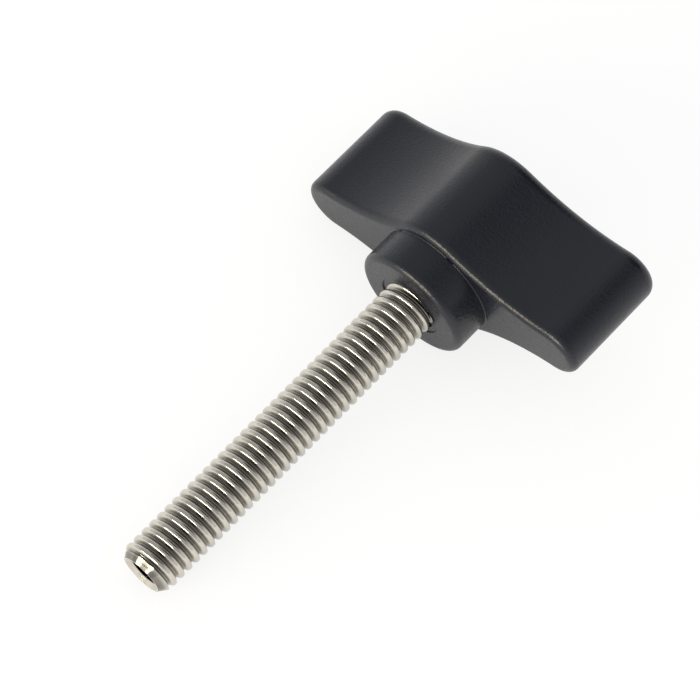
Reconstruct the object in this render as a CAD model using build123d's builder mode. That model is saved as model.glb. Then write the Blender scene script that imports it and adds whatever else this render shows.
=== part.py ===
from build123d import *
import os
from math import asin, atan2, cos, degrees, hypot, radians, sin, tan

# Wing thumb screw: a T handle moulded round the hex head of a long steel stud.
# Lengths are in millimetres and angles in degrees.
# The screw lies at rest on the plane z = 0, with its tip toward -Y.

# Stud: a 5/16-18 UNC screw, full diameter over the thread crests
thread_diameter = 7.94
stud_reach = 50.8
stud_in_handle = 12.7
head_across_flats = 12.7
head_height = 5.3
head_chamfer = 0.8
relief_diameter = 6.4
relief_width = 1.3
tip_diameter = 6.0
tip_angle = 35
cup_diameter = 5.6
cup_angle = 90
bore_diameter = 4.4
bore_depth = 3.0
bore_angle = 118

# Handle: a wing with a round middle, hollowed flanks and rounded ends
wing_length = 48.6
wing_height = 16.8
wing_end_thickness = 8.4
centre_thickness = 19.8
centre_radius = 8.4
rim_edge_radius = 1.1
crown_edge_radius = 1.8

# Handle: the hub under the wing, with a shallow recess round the stud
hub_diameter = 17.2
hub_height = 5.4
hub_edge_chamfer = 0.5
recess_diameter = 9.6
recess_depth = 0.5

# Plan of the wing: centre arc, hollow flank and end arc run into each other
end_radius = wing_end_thickness / 2
end_reach = wing_length / 2 - end_radius
centre_offset = centre_thickness / 2 - centre_radius
flank_rise = end_radius - centre_offset
flank_radius = (end_reach**2 + flank_rise**2 - centre_radius**2) / (2 * (centre_radius - flank_rise))
flank_turn = degrees(atan2(end_reach, flank_rise + flank_radius))

# Stud profile, measured along its axis from the wing's hub side
shank_radius = thread_diameter / 2
relief_radius = relief_diameter / 2
tip_radius = tip_diameter / 2
cup_radius = cup_diameter / 2
tip_end = hub_height + stud_reach
tip_shoulder = tip_end - (shank_radius - tip_radius) / tan(radians(tip_angle))
bore_radius = bore_diameter / 2
bore_mouth = tip_end - (cup_radius - bore_radius) / tan(radians(cup_angle / 2))
bore_end = tip_end - bore_depth
bore_point = bore_end - bore_radius / tan(radians(bore_angle / 2))
head_seat = hub_height - stud_in_handle
relief_start = hub_height - relief_width

# Rest: the tip's shoulder, the wing's rim and one wing end touch the ground.
# The handle leans sideways until the wing end is down, then the stud dips until its tip is down.
lean = asin((centre_radius - end_radius) / hypot(end_reach, centre_offset)) + atan2(centre_offset, end_reach)
rim_drop = centre_offset * cos(lean) + centre_radius
dip_rise = rim_drop - rim_edge_radius - shank_radius
dip_run = tip_shoulder + rim_edge_radius
dip = atan2(dip_rise, dip_run) + asin(rim_edge_radius / hypot(dip_rise, dip_run))
seat_height = (rim_drop - rim_edge_radius) * cos(dip) + rim_edge_radius * (1 - sin(dip))

# The footprint is centred between the tip and the crown of the wing
toe = tip_end * cos(dip) + tip_radius * sin(dip)
crown_edge_drop = rim_drop - crown_edge_radius
heel = (wing_height - crown_edge_radius) * cos(dip) + crown_edge_drop * sin(dip) + crown_edge_radius

# The wing's hub side: x runs along the wing, z runs along the stud to its tip
seat = Plane(
    origin=(0, (toe - heel) / 2, seat_height),
    x_dir=(-cos(lean), sin(lean) * sin(dip), -sin(lean) * cos(dip)),
    z_dir=(0, -cos(dip), -sin(dip)),
)
stud_axis = Axis(seat.origin, seat.z_dir)
stud_section = Plane(origin=seat.origin, x_dir=seat.x_dir, z_dir=-seat.y_dir)

os.makedirs("parts", exist_ok=True)

# Stud: turned profile with a relief at the hub, a chamfered tip and a drilled cup in its end
with BuildPart() as threaded_stud:
    with BuildSketch(stud_section):
        with BuildLine():
            Polyline(
                (0, head_seat),
                (shank_radius, head_seat),
                (shank_radius, relief_start),
                (relief_radius, relief_start),
                (relief_radius, hub_height),
                (shank_radius, hub_height),
                (shank_radius, tip_shoulder),
                (tip_radius, tip_end),
                (cup_radius, tip_end),
                (bore_radius, bore_mouth),
                (bore_radius, bore_end),
                (0, bore_point),
                close=True,
            )
        make_face()
    revolve(axis=stud_axis)
    # Hex head that the handle is moulded round
    with BuildSketch(seat.offset(head_seat)):
        RegularPolygon(head_across_flats / 2, side_count=6, major_radius=False)
    extrude(amount=-head_height)
    chamfer(threaded_stud.faces().sort_by(stud_axis)[0].edges(), length=head_chamfer)
threaded_stud.part.label = "threaded_stud"
export_step(threaded_stud.part, "parts/threaded_stud.step")

# Handle: wing and hub in one moulding
with BuildPart() as wing_handle:
    with BuildSketch(seat):
        with BuildLine():
            centre = JernArc((0, centre_thickness / 2), (1, 0), centre_radius, -flank_turn)
            flank = JernArc(centre @ 1, centre % 1, flank_radius, flank_turn)
            JernArc(flank @ 1, flank % 1, end_radius, -90)
            mirror(about=Plane.XZ)
            mirror(about=Plane.YZ)
        make_face()
    extrude(amount=-wing_height)
    fillet(wing_handle.faces().sort_by(stud_axis)[0].edges(), radius=crown_edge_radius)
    fillet(wing_handle.faces().sort_by(stud_axis)[-1].edges(), radius=rim_edge_radius)
    # Hub with a narrow chamfer round its end
    with BuildSketch(seat):
        Circle(hub_diameter / 2)
    extrude(amount=hub_height)
    chamfer(wing_handle.faces().sort_by(stud_axis)[-1].edges(), length=hub_edge_chamfer)
    # Recess round the stud, then the pocket that the stud fills
    with BuildSketch(seat.offset(hub_height)):
        Circle(recess_diameter / 2)
    extrude(amount=-recess_depth, mode=Mode.SUBTRACT)
    add(threaded_stud.part, mode=Mode.SUBTRACT)
wing_handle.part.label = "wing_handle"
export_step(wing_handle.part, "parts/wing_handle.step")
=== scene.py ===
"""Looks of a wing thumb screw: a moulded T handle on a rolled steel stud.

Both pieces are modelled in millimetres on the screw's own axis, where z runs from the wing through the
hub to the tip and x runs along the wing. They are then set down in metres where the CAD nodes lie.
"""

import logging
import math
from collections.abc import Callable, Iterator
from contextlib import contextmanager
from dataclasses import dataclass
from enum import Enum
from typing import Any

import bmesh
import bpy
from mathutils import Matrix, Vector


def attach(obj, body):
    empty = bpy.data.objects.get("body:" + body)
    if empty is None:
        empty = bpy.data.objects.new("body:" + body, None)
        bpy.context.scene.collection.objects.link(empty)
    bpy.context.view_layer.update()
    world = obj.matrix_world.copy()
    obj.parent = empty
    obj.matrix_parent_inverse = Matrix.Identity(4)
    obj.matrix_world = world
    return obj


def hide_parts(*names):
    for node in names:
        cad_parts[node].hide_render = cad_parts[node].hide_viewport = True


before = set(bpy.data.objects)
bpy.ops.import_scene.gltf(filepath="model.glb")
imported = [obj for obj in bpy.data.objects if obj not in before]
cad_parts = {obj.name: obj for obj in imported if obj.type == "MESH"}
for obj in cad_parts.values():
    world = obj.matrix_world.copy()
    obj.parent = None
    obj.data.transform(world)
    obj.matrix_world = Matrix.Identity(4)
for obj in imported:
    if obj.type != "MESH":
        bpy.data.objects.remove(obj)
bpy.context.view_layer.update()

# A millimetre in metres, and the gap in millimetres below which two points count as one
MM = 0.001
WELD = 1e-4
WHITE = (1.0, 1.0, 1.0, 1.0)
# The levels between which most of a noise pattern lies
NOISE_SPAN = (0.3, 0.7)
log = logging.getLogger("thumb_screw")


class Slot(Enum):
    """The record's material slots."""

    HANDLE = "wing_handle"
    STUD = "threaded_stud"


class Pick(Enum):
    """The kinds of mesh element that can be selected."""

    VERT = "VERT"
    EDGE = "EDGE"
    FACE = "FACE"


class Cut(Enum):
    """What a boolean does with its second solid."""

    KEEP_SHARED = "INTERSECT"
    JOIN = "UNION"
    REMOVE = "DIFFERENCE"


def linear(colour: str) -> tuple[float, float, float, float]:
    """Turns an sRGB hex colour into linear red, green, blue and alpha.

    Args:
        colour: Six hex digits after a hash sign.

    Returns:
        The four linear channels, with alpha 1.
    """
    shares = [int(colour[i:i + 2], 16) / 255 for i in (1, 3, 5)]
    red, green, blue = (s / 12.92 if s <= 0.04045 else ((s + 0.055) / 1.055) ** 2.4 for s in shares)
    return red, green, blue, 1.0


def per_metre(size_mm: float) -> float:
    """Gives the texture scale whose features are about that many millimetres across."""
    return 1 / (size_mm * MM)


def add_node(
    tree: bpy.types.NodeTree,
    kind: str,
    settings: dict[str, Any] | None = None,
    inputs: dict[str | int, Any] | None = None,
) -> bpy.types.Node:
    """Adds a node with its settings and links.

    Args:
        tree: The node tree that gets the node.
        kind: The node's type name.
        settings: Properties of the node by name.
        inputs: Values, or sockets to link, by input name or number.

    Returns:
        The new node.
    """
    node = tree.nodes.new(kind)
    for name, value in (settings or {}).items():
        setattr(node, name, value)
    for key, value in (inputs or {}).items():
        if isinstance(value, bpy.types.NodeSocket):
            tree.links.new(value, node.inputs[key])
        else:
            node.inputs[key].default_value = value
    return node


def clear_tree(owner: bpy.types.Material | bpy.types.World) -> bpy.types.NodeTree:
    """Starts the node tree of a material or a world.

    Args:
        owner: The material or world.

    Returns:
        Its node tree, with no nodes.
    """
    owner.use_nodes = True
    owner.node_tree.nodes.clear()
    return owner.node_tree


def vary(
    tree: bpy.types.NodeTree, pattern: bpy.types.NodeSocket, limits: tuple[float, float]
) -> bpy.types.NodeSocket:
    """Turns a noise pattern into a value between two limits.

    Args:
        tree: The node tree of the pattern.
        pattern: The pattern's level.
        limits: The value where the noise is low and where it is high.

    Returns:
        The socket with the value.
    """
    low, high = NOISE_SPAN
    return add_node(tree, "ShaderNodeMapRange", inputs={
        "Value": pattern, "From Min": low, "From Max": high, "To Min": limits[0], "To Max": limits[1],
    }).outputs["Result"]


def blend(
    tree: bpy.types.NodeTree, share: bpy.types.NodeSocket, first: str, second: str
) -> bpy.types.NodeSocket:
    """Blends two colours. A Mix node's colour sockets come after those of its other types.

    Args:
        tree: The node tree of the share.
        share: How much of the second colour there is.
        first: The first colour in sRGB hex.
        second: The second colour in sRGB hex.

    Returns:
        The socket with the colour.
    """
    return add_node(tree, "ShaderNodeMix", {"data_type": "RGBA"}, {
        0: share, 6: linear(first), 7: linear(second)}).outputs[2]


@dataclass(frozen=True)
class Noise:
    """A noise pattern, by the size of its features in millimetres."""

    size_mm: float
    detail: float
    roughness: float

    def add(self, tree: bpy.types.NodeTree, where: bpy.types.NodeSocket) -> bpy.types.NodeSocket:
        """Adds the pattern to a node tree.

        Args:
            tree: The node tree that gets the pattern.
            where: The coordinates that it follows.

        Returns:
            The socket with the pattern's level.
        """
        return add_node(tree, "ShaderNodeTexNoise", inputs={
            "Vector": where, "Scale": per_metre(self.size_mm), "Detail": self.detail,
            "Roughness": self.roughness,
        }).outputs["Fac"]


def select_only(piece: bpy.types.Object) -> None:
    """Makes a piece the active object and the only selected one.

    Args:
        piece: The object to select.
    """
    bpy.ops.object.select_all(action="DESELECT")
    piece.select_set(True)
    bpy.context.view_layer.objects.active = piece


@contextmanager
def editing(piece: bpy.types.Object) -> Iterator[None]:
    """Holds a piece in edit mode with nothing else selected.

    Args:
        piece: The mesh object to edit.
    """
    select_only(piece)
    bpy.ops.object.mode_set(mode="EDIT")
    yield
    bpy.ops.object.mode_set(mode="OBJECT")


def choose(piece: bpy.types.Object, kind: Pick, wanted: Callable[[list[Vector]], bool]) -> None:
    """Selects, in edit mode, just the elements whose corners pass a test.

    Args:
        piece: The mesh object in edit mode.
        kind: Whether vertices, edges or faces are selected.
        wanted: Takes the corners of one element, in millimetres, and says if it is selected.
    """
    bpy.ops.mesh.select_mode(type=kind.value)
    bpy.ops.mesh.select_all(action="DESELECT")
    mesh = bmesh.from_edit_mesh(piece.data)
    elements = {Pick.VERT: mesh.verts, Pick.EDGE: mesh.edges, Pick.FACE: mesh.faces}[kind]
    for element in elements:
        corners = [element.co] if kind is Pick.VERT else [v.co for v in element.verts]
        element.select_set(wanted(corners))
    bmesh.update_edit_mesh(piece.data)


def at_height(height: float) -> Callable[[list[Vector]], bool]:
    """Gives a test for elements that lie at one height along the axis."""
    return lambda corners: all(abs(c.z - height) < WELD for c in corners)


def on_ring(radius: float, height: float) -> Callable[[list[Vector]], bool]:
    """Gives a test for elements on a circle round the axis.

    Args:
        radius: The circle's radius in millimetres.
        height: Its place along the axis in millimetres.

    Returns:
        A test of an element's corners.
    """
    return lambda corners: all(
        abs(c.z - height) < WELD and abs(math.hypot(c.x, c.y) - radius) < WELD for c in corners
    )


def start_point(name: str, place: tuple[float, float, float]) -> bpy.types.Object:
    """Adds a small plane and merges it to one vertex, from which a profile is drawn.

    Args:
        name: The new object's name.
        place: Where the vertex lies, in millimetres.

    Returns:
        The object, whose mesh is that vertex.
    """
    bpy.ops.object.select_all(action="DESELECT")
    bpy.ops.mesh.primitive_plane_add(size=1, location=(0, 0, 0))
    piece = bpy.context.object
    piece.name = piece.data.name = name
    with editing(piece):
        bpy.ops.mesh.select_all(action="SELECT")
        bpy.ops.mesh.merge(type="CENTER")
        bpy.ops.mesh.select_all(action="SELECT")
        bpy.ops.transform.translate(value=place)
    return piece


def draw_profile(name: str, points: list[tuple[float, float]]) -> bpy.types.Object:
    """Draws an open profile of radius and height by extruding a vertex.

    Args:
        name: The new object's name.
        points: Radius and height of each corner, in millimetres.

    Returns:
        The object that holds the profile as a chain of edges.
    """
    radius, height = points[0]
    piece = start_point(name, (radius, 0, height))
    with editing(piece):
        bpy.ops.mesh.select_all(action="SELECT")
        for next_radius, next_height in points[1:]:
            step = (next_radius - radius, 0, next_height - height)
            bpy.ops.mesh.extrude_vertices_move(TRANSFORM_OT_translate={"value": step})
            radius, height = next_radius, next_height
    return piece


def turn_profile(piece: bpy.types.Object, steps: int) -> None:
    """Spins a profile round the axis into a closed solid.

    Args:
        piece: The object with the profile.
        steps: How many steps the full turn has.
    """
    with editing(piece):
        bpy.ops.mesh.select_all(action="SELECT")
        bpy.ops.mesh.spin(steps=steps, angle=math.tau, center=(0, 0, 0), axis=(0, 0, 1))
    close_up(piece)


def close_up(piece: bpy.types.Object) -> None:
    """Merges doubled vertices and turns all faces outwards.

    Args:
        piece: The solid to close.
    """
    with editing(piece):
        bpy.ops.mesh.select_all(action="SELECT")
        bpy.ops.mesh.remove_doubles(threshold=WELD)
        bpy.ops.mesh.select_all(action="SELECT")
        bpy.ops.mesh.normals_make_consistent(inside=False)


def modify(piece: bpy.types.Object, kind: str, **settings: Any) -> None:
    """Adds a modifier and applies it.

    Args:
        piece: The object to change.
        kind: The modifier's type name.
        **settings: The modifier's properties.
    """
    select_only(piece)
    modifier = piece.modifiers.new(kind.title(), kind)
    for name, value in settings.items():
        setattr(modifier, name, value)
    bpy.ops.object.modifier_apply(modifier=modifier.name)


def combine(piece: bpy.types.Object, tool: bpy.types.Object, cut: Cut) -> None:
    """Changes a solid by a second one, which is used up.

    Args:
        piece: The solid that changes.
        tool: The second solid.
        cut: Whether it is joined, removed or shared.
    """
    modify(piece, "BOOLEAN", object=tool, operation=cut.value, solver="EXACT")
    bpy.data.objects.remove(tool)


@dataclass(frozen=True)
class Rest:
    """How the screw lies: where its wing's hub side is, and how far it leans and dips."""

    lean: float
    dip: float
    origin: tuple[float, float, float]

    def matrix(self) -> Matrix:
        """Works out the placing.

        Returns:
            The matrix from millimetres on the screw's axis to metres on the ground.
        """
        x = Vector((
            -math.cos(self.lean),
            math.sin(self.lean) * math.sin(self.dip),
            -math.sin(self.lean) * math.cos(self.dip),
        ))
        z = Vector((0, -math.cos(self.dip), -math.sin(self.dip)))
        turn = Matrix((x, z.cross(x), z)).transposed().to_4x4()
        return Matrix.Scale(MM, 4) @ Matrix.Translation(self.origin) @ turn

    def place(self, piece: bpy.types.Object) -> None:
        """Sets a piece down, with its place in its mesh.

        Args:
            piece: The piece, in millimetres on the screw's axis.
        """
        piece.matrix_world = self.matrix()
        select_only(piece)
        bpy.ops.object.transform_apply(location=True, rotation=True, scale=True)

    def straighten(self) -> tuple[Vector, Vector]:
        """Works out how a Mapping node turns object space onto the screw's axis.

        Returns:
            The node's location in metres and its rotation.
        """
        back = (Matrix.Scale(1 / MM, 4) @ self.matrix()).inverted()
        back.translation *= MM
        return back.translation, Vector(back.to_euler())


@dataclass(frozen=True)
class MouldedNylon:
    """Glass-filled nylon, moulded black in a spark-eroded tool.

    The fine erosion grain scatters the light, so faces look soft charcoal and only tight edges shine.
    """

    shade: str = "#0e111a"
    flow: str = "#141721"
    roughness: tuple[float, float] = (0.26, 0.36)
    ior: float = 1.5
    flow_noise: Noise = Noise(9.0, 3.0, 0.55)
    grain_noise: Noise = Noise(0.4, 2.0, 0.6)
    grain_depth_mm: float = 0.05
    grain_strength: float = 0.8

    def material(self) -> bpy.types.Material:
        """Builds the node tree.

        Returns:
            The finished material.
        """
        made = bpy.data.materials.new("black_moulded_nylon")
        tree = clear_tree(made)
        where = add_node(tree, "ShaderNodeTexCoord").outputs["Object"]
        flow = self.flow_noise.add(tree, where)
        grain = self.grain_noise.add(tree, where)
        bump = add_node(tree, "ShaderNodeBump", inputs={
            "Height": grain, "Strength": self.grain_strength, "Distance": self.grain_depth_mm * MM})
        shader = add_node(tree, "ShaderNodeBsdfPrincipled", inputs={
            "Base Color": blend(tree, flow, self.shade, self.flow),
            "Roughness": vary(tree, grain, self.roughness), "IOR": self.ior,
            "Normal": bump.outputs["Normal"]})
        add_node(tree, "ShaderNodeOutputMaterial", inputs={"Surface": shader.outputs["BSDF"]})
        return made


@dataclass(frozen=True)
class RolledStainless:
    """Stainless steel with a rolled thread.

    The rolled thread has fine drag lines along the turns. Its colour holds painted shade: it darkens from the
    crests down into the thread roots and is dark over everything turned below them, where shade falls.
    The ring round the tip's hole is kept out of that painted shade, and random stains vary the tone.
    """

    crest: str = "#d0ccc2"
    # Painted shade: the darker colour given to the thread roots and the hollows below them
    root: str = "#575350"
    roughness: tuple[float, float] = (0.08, 0.18)
    drag_mm: float = 0.09
    drag_length_mm: float = 4.0
    drag_detail: float = 2.0
    drag_roughness: float = 0.5
    drag_depth_mm: float = 0.002
    drag_strength: float = 0.5
    stain_noise: Noise = Noise(2.5, 4.0, 0.6)
    stain_share: float = 0.5
    sunk_margin_mm: float = 0.04

    def material(
        self, rest: Rest, crest_radius: float, root_radius: float, tip_radius: float, bore_radius: float
    ) -> bpy.types.Material:
        """Builds the node tree.

        Args:
            rest: How the screw lies, so that the pattern follows its axis.
            crest_radius: Radius over the thread's crests in millimetres.
            root_radius: Radius at the thread's roots in millimetres.
            tip_radius: Radius of the tip's end face in millimetres.
            bore_radius: Radius of the hole in it in millimetres.

        Returns:
            The finished material.
        """
        made = bpy.data.materials.new("rolled_stainless_steel")
        tree = clear_tree(made)
        where = add_node(tree, "ShaderNodeTexCoord").outputs["Object"]
        location, rotation = rest.straighten()
        axis = add_node(tree, "ShaderNodeMapping", inputs={
            "Vector": where, "Location": location, "Rotation": rotation}).outputs["Vector"]
        off_axis = add_node(tree, "ShaderNodeVectorMath", {"operation": "MULTIPLY"}, {0: axis, 1: (1, 1, 0)})
        radius = add_node(tree, "ShaderNodeVectorMath", {"operation": "LENGTH"}, {0: off_axis.outputs[0]})
        # Painted shade mask: 0 at the thread roots and below, 1 at the crests and above
        height = add_node(tree, "ShaderNodeMapRange", inputs={
            "Value": radius.outputs["Value"], "From Min": root_radius * MM, "From Max": crest_radius * MM})
        across, along = per_metre(self.drag_mm), per_metre(self.drag_length_mm)
        stretched = add_node(tree, "ShaderNodeMapping", inputs={
            "Vector": axis, "Scale": (along, along, across)})
        drag = add_node(tree, "ShaderNodeTexNoise", inputs={
            "Vector": stretched.outputs["Vector"], "Scale": 1.0, "Detail": self.drag_detail,
            "Roughness": self.drag_roughness,
        }).outputs["Fac"]
        # The ring round the tip's hole is kept out of the painted shade
        sunk = add_node(tree, "ShaderNodeMath", {"operation": "COMPARE"}, {
            0: radius.outputs["Value"], 1: (tip_radius + bore_radius) / 2 * MM,
            2: ((tip_radius - bore_radius) / 2 - self.sunk_margin_mm) * MM})
        unshaded_share = add_node(tree, "ShaderNodeMath", {"operation": "MAXIMUM"}, {
            0: height.outputs["Result"], 1: sunk.outputs[0]})
        # Share of the crest colour: low where the painted shade falls, lifted at random by stains
        stain_and_painted_shade_mix = add_node(tree, "ShaderNodeMath", {"operation": "MULTIPLY_ADD", "use_clamp": True}, {
            0: self.stain_noise.add(tree, where), 1: self.stain_share, 2: unshaded_share.outputs[0]})
        bump = add_node(tree, "ShaderNodeBump", inputs={
            "Height": drag, "Strength": self.drag_strength, "Distance": self.drag_depth_mm * MM})
        shader = add_node(tree, "ShaderNodeBsdfPrincipled", inputs={
            "Base Color": blend(tree, stain_and_painted_shade_mix.outputs[0], self.root, self.crest), "Metallic": 1.0,
            "Roughness": vary(tree, drag, self.roughness), "Normal": bump.outputs["Normal"]})
        add_node(tree, "ShaderNodeOutputMaterial", inputs={"Surface": shader.outputs["BSDF"]})
        return made


@dataclass
class ThreadedStud:
    """The steel stud: hex head inside the handle, undercut, rolled thread and cup point."""

    hub_height: float
    recess_depth: float
    diameter: float = 7.94
    pitch: float = 1.4111
    root_diameter: float = 6.75
    reach: float = 50.8
    in_handle: float = 12.7
    head_across_flats: float = 12.7
    head_height: float = 5.3
    head_sides: int = 6
    head_chamfer: float = 0.8
    relief_diameter: float = 6.4
    relief_width: float = 1.3
    run_out: float = 0.35
    tip_diameter: float = 6.0
    tip_angle: float = 35
    cup_diameter: float = 5.6
    cup_angle: float = 90
    bore_diameter: float = 4.4
    bore_depth: float = 3.0
    bore_angle: float = 118
    flank_angle: float = 30
    crest_share: float = 0.36
    crest_clearance: float = 0.02
    rounding: float = 0.16
    rounding_steps: int = 3
    thread_phase: float = 0.7
    turns_below: int = 3
    turns_beyond: int = 2
    overrun: float = 0.4
    turn_steps: int = 64
    smooth_angle: float = 32

    @property
    def radius(self) -> float:
        """Radius over the thread crests."""
        return self.diameter / 2

    @property
    def tip_end(self) -> float:
        """Place of the tip's end face along the axis."""
        return self.hub_height + self.reach

    @property
    def tip_shoulder(self) -> float:
        """Place where the tip's chamfer starts."""
        return self.tip_end - self.taper(self.radius)

    @property
    def head_seat(self) -> float:
        """Place of the hex head's underside along the axis."""
        return self.hub_height - self.in_handle

    @property
    def relief_end(self) -> float:
        """Place where the undercut ends and the thread starts, just inside the hub."""
        return self.hub_height - self.recess_depth

    def taper(self, outer: float) -> float:
        """Gives the length of the tip's chamfer on a shank of that radius."""
        return (outer - self.tip_diameter / 2) / math.tan(math.radians(self.tip_angle))

    def head(self) -> bpy.types.Object:
        """Makes the chamfered hex head.

        Returns:
            The head as a closed solid.
        """
        bpy.ops.object.select_all(action="DESELECT")
        bpy.ops.mesh.primitive_cylinder_add(
            vertices=self.head_sides,
            radius=self.head_across_flats / 2 / math.cos(math.pi / self.head_sides),
            depth=self.head_height,
            location=(0, 0, self.head_seat - self.head_height / 2),
            rotation=(0, 0, math.pi / self.head_sides),
        )
        head = bpy.context.object
        head.name = head.data.name = "stud_head"
        bpy.ops.object.transform_apply(location=True, rotation=True, scale=True)
        with editing(head):
            choose(head, Pick.EDGE, at_height(self.head_seat - self.head_height))
            bpy.ops.mesh.bevel(offset=self.head_chamfer, segments=1, affect="EDGES")
        return head

    def blank(self, outer: float, run_out: float) -> bpy.types.Object:
        """Turns the stud's plain shape.

        Args:
            outer: Radius of the shank.
            run_out: Width of the chamfer where the undercut ends.

        Returns:
            The blank as a closed solid.
        """
        relief = self.relief_diameter / 2
        tip = self.tip_diameter / 2
        cup = self.cup_diameter / 2
        bore = self.bore_diameter / 2
        bore_mouth = self.tip_end - (cup - bore) / math.tan(math.radians(self.cup_angle / 2))
        bore_end = self.tip_end - self.bore_depth
        bore_point = bore_end - bore / math.tan(math.radians(self.bore_angle / 2))
        chamfer_start = [(outer - run_out, self.relief_end)] if run_out else []
        points = [
            (0, self.head_seat - self.overrun),
            (outer, self.head_seat - self.overrun),
            (outer, self.hub_height - self.relief_width),
            (relief, self.hub_height - self.relief_width),
            (relief, self.relief_end),
            *chamfer_start,
            (outer, self.relief_end + run_out),
            (outer, self.tip_end - self.taper(outer)),
            (tip, self.tip_end),
            (cup, self.tip_end),
            (bore, bore_mouth),
            (bore, bore_end),
            (0, bore_point),
        ]
        blank = draw_profile("stud_blank", points)
        turn_profile(blank, 2 * self.turn_steps)
        return blank

    def core(self) -> bpy.types.Object:
        """Makes the stud's plain form, which the handle is moulded round.

        Returns:
            The plain form as a closed solid.
        """
        core = self.blank(self.radius, 0)
        combine(core, self.head(), Cut.JOIN)
        return core

    def thread(self) -> bpy.types.Object:
        """Screws one rounded turn of the thread up the stud and cuts both ends off.

        Returns:
            The threaded rod as a closed solid.
        """
        root = self.root_diameter / 2
        flank = (self.radius - root) * math.tan(math.radians(self.flank_angle))
        crest = self.crest_share * self.pitch
        floor = (self.pitch - crest - 2 * flank) / 2
        start = self.head_seat - self.turns_below * self.pitch + self.thread_phase
        corners = [floor, floor + flank, floor + flank + crest, floor + 2 * flank + crest]
        points = [(root, 0), (root, corners[0]), (self.radius, corners[1]), (self.radius, corners[2]),
                  (root, corners[3]), (root, self.pitch)]
        rod = draw_profile("threaded_stud_dressed", [(r, start + h) for r, h in points])
        with editing(rod):
            inner = start + WELD, start + self.pitch - WELD
            choose(rod, Pick.VERT, lambda corner: inner[0] < corner[0].z < inner[1])
            bpy.ops.mesh.bevel(offset=self.rounding, segments=self.rounding_steps, affect="VERTICES")
        turns = math.ceil((self.tip_end - start) / self.pitch) + self.turns_beyond
        modify(rod, "SCREW", axis="Z", angle=math.tau, screw_offset=self.pitch, iterations=turns,
               steps=self.turn_steps, render_steps=self.turn_steps, use_merge_vertices=False)
        close_up(rod)
        for height, outward in ((self.head_seat - self.overrun / 2, -1), (self.tip_end + self.overrun, 1)):
            with editing(rod):
                bpy.ops.mesh.select_all(action="SELECT")
                bpy.ops.mesh.bisect(plane_co=(0, 0, height), plane_no=(0, 0, outward), use_fill=True,
                                    clear_outer=True, threshold=WELD)
        close_up(rod)
        return rod

    def build(self) -> bpy.types.Object:
        """Models the stud.

        Returns:
            The stud in millimetres on its axis.
        """
        stud = self.thread()
        combine(stud, self.blank(self.radius + self.crest_clearance, self.run_out), Cut.KEEP_SHARED)
        combine(stud, self.head(), Cut.JOIN)
        close_up(stud)
        return stud

    def dress(self, stud: bpy.types.Object, rest: Rest) -> None:
        """Sets the stud down, gives it its finish and puts it in the node's place.

        Args:
            stud: The stud in millimetres on its axis.
            rest: How the screw lies.
        """
        rest.place(stud)
        select_only(stud)
        bpy.ops.object.shade_smooth_by_angle(angle=math.radians(self.smooth_angle))
        stud.data.materials.clear()
        stud.data.materials.append(RolledStainless().material(
            rest, self.radius, self.root_diameter / 2, self.tip_diameter / 2, self.bore_diameter / 2))
        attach(stud, "root")
        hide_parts("threaded_stud")


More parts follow.
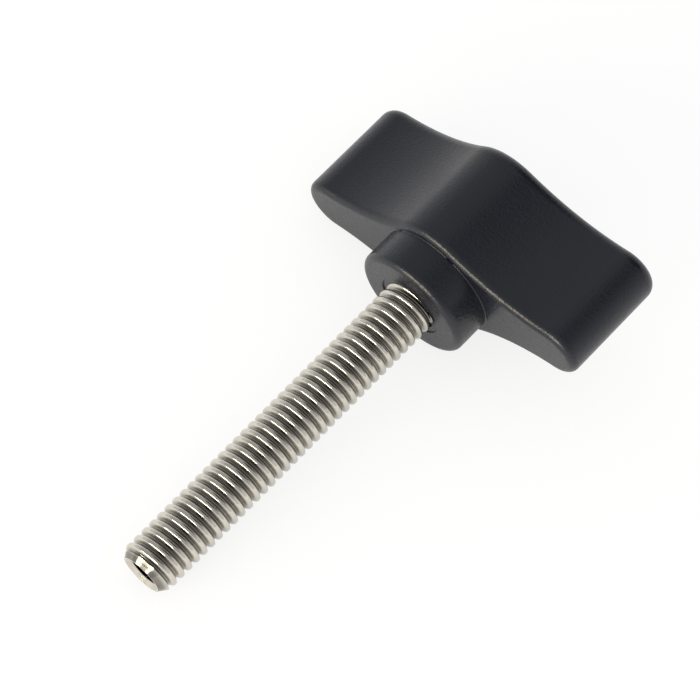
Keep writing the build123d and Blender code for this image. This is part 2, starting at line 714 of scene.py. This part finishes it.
@dataclass
class WingHandle:
    """The moulded T handle: a wing with hollow flanks, and a hub with a recess round the stud.

    The recess is filled to less than its depth in the CAD, because only a faint line is seen there.
    """

    length: float = 48.6
    height: float = 16.8
    end_thickness: float = 8.4
    centre_thickness: float = 19.8
    centre_radius: float = 8.4
    rim_radius: float = 1.1
    crown_radius: float = 1.8
    hub_diameter: float = 17.2
    hub_height: float = 5.4
    hub_edge_radius: float = 1.0
    hub_root_radius: float = 0.15
    recess_diameter: float = 9.6
    recess_depth: float = 0.5
    recess_fill: float = 0.32
    recess_edge: float = 0.12
    arc_steps: tuple[int, int, int] = (12, 24, 18)
    crown_steps: int = 10
    rim_steps: int = 6
    hub_steps: int = 128
    hub_root_steps: int = 4
    hub_edge_steps: int = 8
    recess_edge_steps: int = 3
    smooth_angle: float = 35
    normal_weight: int = 80

    @property
    def end_radius(self) -> float:
        """Radius of the wing's ends."""
        return self.end_thickness / 2

    @property
    def end_reach(self) -> float:
        """Distance of an end's arc centre from the axis."""
        return self.length / 2 - self.end_radius

    @property
    def centre_offset(self) -> float:
        """Distance of the middle arc's centre from the axis."""
        return self.centre_thickness / 2 - self.centre_radius

    @property
    def flank_radius(self) -> float:
        """Radius of the hollow flanks, which run into the other arcs."""
        rise = self.end_radius - self.centre_offset
        return (self.end_reach**2 + rise**2 - self.centre_radius**2) / (2 * (self.centre_radius - rise))

    @property
    def flank_turn(self) -> float:
        """Angle through which each flank turns."""
        return math.atan2(self.end_reach, self.end_radius - self.centre_offset + self.flank_radius)

    def rest(self, stud: ThreadedStud) -> Rest:
        """Works out how the screw lies on the ground, on one wing end, the wing's rim and the tip.

        Args:
            stud: The stud, whose tip touches the ground.

        Returns:
            The place and tilt of the wing's hub side.
        """
        span = math.hypot(self.end_reach, self.centre_offset)
        lean = math.asin((self.centre_radius - self.end_radius) / span)
        lean += math.atan2(self.centre_offset, self.end_reach)
        rim_drop = self.centre_offset * math.cos(lean) + self.centre_radius
        rise = rim_drop - self.rim_radius - stud.radius
        run = stud.tip_shoulder + self.rim_radius
        dip = math.atan2(rise, run) + math.asin(self.rim_radius / math.hypot(rise, run))
        up = (rim_drop - self.rim_radius) * math.cos(dip) + self.rim_radius * (1 - math.sin(dip))
        toe = stud.tip_end * math.cos(dip) + stud.tip_diameter / 2 * math.sin(dip)
        heel = (self.height - self.crown_radius) * math.cos(dip) + self.crown_radius
        heel += (rim_drop - self.crown_radius) * math.sin(dip)
        return Rest(lean, dip, (0, (toe - heel) / 2, up))

    def outline(self) -> bpy.types.Object:
        """Draws the wing's plan: a quarter is spun through its three arcs, then mirrored.

        Returns:
            The object that holds the closed outline at the hub side.
        """
        wing = start_point("wing_handle_dressed", (0, self.centre_thickness / 2, 0))
        turn = self.flank_turn
        reach = self.centre_radius + self.flank_radius
        flank_centre = (reach * math.sin(turn), self.centre_offset + reach * math.cos(turn), 0)
        centres = [(0, self.centre_offset, 0), flank_centre, (self.end_reach, 0, 0)]
        turns = [turn, -turn, math.pi / 2]
        with editing(wing):
            bpy.ops.mesh.select_all(action="SELECT")
            for centre, angle, steps in zip(centres, turns, self.arc_steps):
                bpy.ops.mesh.spin(steps=steps, angle=angle, center=centre, axis=(0, 0, 1))
        modify(wing, "MIRROR", use_axis=(True, True, False), use_mirror_merge=True, merge_threshold=WELD)
        return wing

    def wing(self) -> bpy.types.Object:
        """Raises the plan into the wing and rounds its crown and rim.

        Returns:
            The wing as a closed solid.
        """
        wing = self.outline()
        with editing(wing):
            bpy.ops.mesh.select_all(action="SELECT")
            bpy.ops.mesh.edge_face_add()
            bpy.ops.mesh.extrude_region_move(TRANSFORM_OT_translate={"value": (0, 0, -self.height)})
        close_up(wing)
        with editing(wing):
            choose(wing, Pick.EDGE, at_height(-self.height))
            bpy.ops.mesh.bevel(
                offset=self.crown_radius, segments=self.crown_steps, affect="EDGES", clamp_overlap=False)
            choose(wing, Pick.EDGE, at_height(0))
            bpy.ops.mesh.bevel(
                offset=self.rim_radius, segments=self.rim_steps, affect="EDGES", clamp_overlap=False)
        return wing

    def add_hub(self, wing: bpy.types.Object) -> None:
        """Opens the wing's hub side and draws the hub and its recess out of it.

        Args:
            wing: The wing, which gets the hub.
        """
        hub = self.hub_diameter / 2
        recess = self.recess_diameter / 2
        with editing(wing):
            choose(wing, Pick.FACE, at_height(0))
            bpy.ops.mesh.delete(type="ONLY_FACE")
            bpy.ops.mesh.primitive_circle_add(vertices=self.hub_steps, radius=hub, location=(0, 0, 0))
            choose(wing, Pick.EDGE, at_height(0))
            bpy.ops.mesh.fill(use_beauty=True)
            choose(wing, Pick.EDGE, on_ring(hub, 0))
            bpy.ops.mesh.extrude_edges_move(TRANSFORM_OT_translate={"value": (0, 0, self.hub_height)})
            bpy.ops.mesh.extrude_edges_move()
            bpy.ops.transform.resize(value=(recess / hub, recess / hub, 1))
            drop = self.recess_fill - self.recess_depth
            bpy.ops.mesh.extrude_edges_move(TRANSFORM_OT_translate={"value": (0, 0, drop)})
            bpy.ops.mesh.edge_face_add()
        close_up(wing)
        with editing(wing):
            rings = [
                (hub, 0, self.hub_root_radius, self.hub_root_steps),
                (hub, self.hub_height, self.hub_edge_radius, self.hub_edge_steps),
                (recess, self.hub_height, self.recess_edge, self.recess_edge_steps),
            ]
            for radius, height, rounding, segments in rings:
                choose(wing, Pick.EDGE, on_ring(radius, height))
                bpy.ops.mesh.bevel(offset=rounding, segments=segments, affect="EDGES", clamp_overlap=False)

    def build(self, stud: ThreadedStud) -> bpy.types.Object:
        """Models the handle round the stud.

        Args:
            stud: The stud that the handle is moulded round.

        Returns:
            The handle in millimetres on the screw's axis.
        """
        handle = self.wing()
        self.add_hub(handle)
        combine(handle, stud.core(), Cut.REMOVE)
        close_up(handle)
        return handle

    def dress(self, handle: bpy.types.Object, rest: Rest) -> None:
        """Sets the handle down, gives it its finish and puts it in the node's place.

        Args:
            handle: The handle in millimetres on the screw's axis.
            rest: How the screw lies.
        """
        rest.place(handle)
        select_only(handle)
        bpy.ops.object.shade_smooth_by_angle(angle=math.radians(self.smooth_angle))
        modify(handle, "WEIGHTED_NORMAL", keep_sharp=True, weight=self.normal_weight)
        handle.data.materials.clear()
        handle.data.materials.append(MouldedNylon().material())
        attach(handle, "root")
        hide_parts("wing_handle")


@dataclass(frozen=True)
class Lamp:
    """A flat soft box."""

    name: str
    place: tuple[float, float, float]
    width: float
    height: float
    watts: float
    colour: str

    def light(self, target: Vector) -> None:
        """Hangs the soft box so that it faces the object.

        Args:
            target: The point that it faces, in metres.
        """
        data = bpy.data.lights.new(self.name, "AREA")
        data.shape = "RECTANGLE"
        data.size, data.size_y = self.width, self.height
        data.energy = self.watts
        data.color = linear(self.colour)[:3]
        lamp = bpy.data.objects.new(self.name, data)
        bpy.context.scene.collection.objects.link(lamp)
        lamp.location = self.place
        lamp.rotation_euler = (target - lamp.location).to_track_quat("-Z", "Y").to_euler()


@dataclass(frozen=True)
class DarkPatch:
    """A dim part of the room, which only mirrors show.

    It fades in between the open and the dark cosine of the angle from its middle.
    """

    toward: tuple[float, float, float]
    open_cosine: float
    dark_cosine: float
    level: float = 0.0


def looking_rays(tree: bpy.types.NodeTree) -> tuple[bpy.types.NodeSocket, bpy.types.NodeSocket]:
    """Finds the rays that show the background.

    Args:
        tree: The node tree of the floor or the world.

    Returns:
        A socket that is 1 for camera and transmission rays, and one that is 1 for glossy rays.
    """
    path = add_node(tree, "ShaderNodeLightPath").outputs
    straight = add_node(tree, "ShaderNodeMath", {"operation": "MAXIMUM"}, {
        0: path["Is Camera Ray"], 1: path["Is Transmission Ray"]})
    return straight.outputs[0], path["Is Glossy Ray"]


@dataclass(frozen=True)
class Studio:
    """A pale table in a white room, lit evenly and by one low soft box, and seen from above."""

    floor_side: float = 4.0
    floor_colour: str = "#f4f4f4"
    floor_glow_share: float = 0.8
    mirror_glow_share: float = 0.3
    wall_level: float = 0.75
    ceiling_level: float = 0.45
    ceiling_rise: tuple[float, float] = (0.25, 0.6)
    dark_patch: DarkPatch = DarkPatch((0.2, 0.65, 0.73), 0.84, 0.95)
    fill_level: float = 1.0
    front_box: Lamp = Lamp("front_box", (-0.1, -0.7, 0.22), 0.75, 0.16, 5.0, "#fff4dc")
    lamp_target: tuple[float, float, float] = (0, 0, 0.01)
    eye: tuple[float, float, float] = (0.10945, -0.15224, 0.36484)
    azimuth: float = 35.371
    elevation: float = 61.752
    roll: float = 8.003
    field_of_view: float = 12.926
    sensor_width: float = 36
    clip_range: tuple[float, float] = (0.01, 20)

    def lay_floor(self) -> None:
        """Lays the table top. Part of its look is a glow, which keeps it pale round the shadow."""
        bpy.ops.object.select_all(action="DESELECT")
        bpy.ops.mesh.primitive_plane_add(size=self.floor_side, location=(0, 0, 0))
        floor = bpy.context.object
        floor.name = floor.data.name = "table_top"
        made = bpy.data.materials.new("pale_table")
        tree = clear_tree(made)
        straight, mirrored = looking_rays(tree)
        share = add_node(tree, "ShaderNodeMath", {"operation": "MULTIPLY"}, {
            0: straight, 1: self.floor_glow_share})
        share = add_node(tree, "ShaderNodeMath", {"operation": "MULTIPLY_ADD"}, {
            0: mirrored, 1: self.mirror_glow_share, 2: share.outputs[0]})
        paint = add_node(tree, "ShaderNodeBsdfDiffuse", inputs={"Color": linear(self.floor_colour)})
        glow = add_node(tree, "ShaderNodeEmission", inputs={"Color": WHITE, "Strength": 1.0})
        mixed = add_node(tree, "ShaderNodeMixShader", inputs={
            0: share.outputs[0], 1: paint.outputs[0], 2: glow.outputs[0]})
        add_node(tree, "ShaderNodeOutputMaterial", inputs={"Surface": mixed.outputs[0]})
        floor.data.materials.append(made)

    def hang_world(self) -> None:
        """Puts a white backdrop round the table, which mirrors show as pale walls with dim parts."""
        world = bpy.data.worlds.new("studio")
        bpy.context.scene.world = world
        tree = clear_tree(world)
        straight, mirrored = looking_rays(tree)
        seen = add_node(tree, "ShaderNodeMath", {"operation": "MAXIMUM"}, {0: straight, 1: mirrored})
        where = add_node(tree, "ShaderNodeTexCoord").outputs["Generated"]
        parts = add_node(tree, "ShaderNodeSeparateXYZ", inputs={0: where})
        wall_top, ceiling = self.ceiling_rise
        level = add_node(tree, "ShaderNodeMapRange", {"interpolation_type": "SMOOTHSTEP"}, {
            "Value": parts.outputs["Z"], "From Min": wall_top, "From Max": ceiling,
            "To Min": self.wall_level, "To Max": self.ceiling_level})
        patch = self.dark_patch
        toward = add_node(tree, "ShaderNodeVectorMath", {"operation": "DOT_PRODUCT"}, {
            0: where, 1: Vector(patch.toward).normalized()})
        level = add_node(tree, "ShaderNodeMapRange", {"interpolation_type": "SMOOTHSTEP"}, {
            "Value": toward.outputs["Value"], "From Min": patch.open_cosine, "From Max": patch.dark_cosine,
            "To Min": level.outputs["Result"], "To Max": patch.level})
        level = add_node(tree, "ShaderNodeMath", {"operation": "MAXIMUM"}, {
            0: level.outputs["Result"], 1: straight})
        room = add_node(tree, "ShaderNodeBackground", inputs={
            "Color": WHITE, "Strength": level.outputs[0]})
        fill = add_node(tree, "ShaderNodeBackground", inputs={
            "Color": WHITE, "Strength": self.fill_level})
        mixed = add_node(tree, "ShaderNodeMixShader", inputs={
            0: seen.outputs[0], 1: fill.outputs[0], 2: room.outputs[0]})
        add_node(tree, "ShaderNodeOutputWorld", inputs={"Surface": mixed.outputs[0]})

    def set_camera(self) -> None:
        """Stands the camera where the picture was taken from."""
        azimuth, elevation, roll = (math.radians(a) for a in (self.azimuth, self.elevation, self.roll))
        back = Vector((
            math.sin(azimuth) * math.cos(elevation),
            -math.cos(azimuth) * math.cos(elevation),
            math.sin(elevation),
        ))
        level = Vector((math.cos(azimuth), math.sin(azimuth), 0))
        right = level * math.cos(roll) + back.cross(level) * math.sin(roll)
        data = bpy.data.cameras.new("camera")
        data.sensor_width = self.sensor_width
        data.angle = math.radians(self.field_of_view)
        data.clip_start, data.clip_end = self.clip_range
        camera = bpy.data.objects.new("camera", data)
        bpy.context.scene.collection.objects.link(camera)
        turn = Matrix((right, back.cross(right), back)).transposed().to_4x4()
        camera.matrix_world = Matrix.Translation(self.eye) @ turn
        bpy.context.scene.camera = camera

    def set_up(self) -> None:
        """Sets up the floor, the room, the soft box and the camera."""
        self.lay_floor()
        self.hang_world()
        self.front_box.light(Vector(self.lamp_target))
        self.set_camera()
        bpy.context.scene.view_settings.view_transform = "Standard"


def report(piece: bpy.types.Object) -> None:
    """Logs a finished piece and its triangles."""
    piece.data.calc_loop_triangles()
    log.info("%s: %d triangles", piece.name, len(piece.data.loop_triangles))


def main() -> None:
    """Builds the handle and the stud, then the studio."""
    logging.basicConfig(level=logging.INFO, format="%(name)s: %(message)s")
    handle = WingHandle()
    stud = ThreadedStud(hub_height=handle.hub_height, recess_depth=handle.recess_depth)
    rest = handle.rest(stud)
    for assembly, piece in ((stud, stud.build()), (handle, handle.build(stud))):
        assembly.dress(piece, rest)
        report(piece)
    Studio().set_up()


if __name__ == "__main__":
    main()
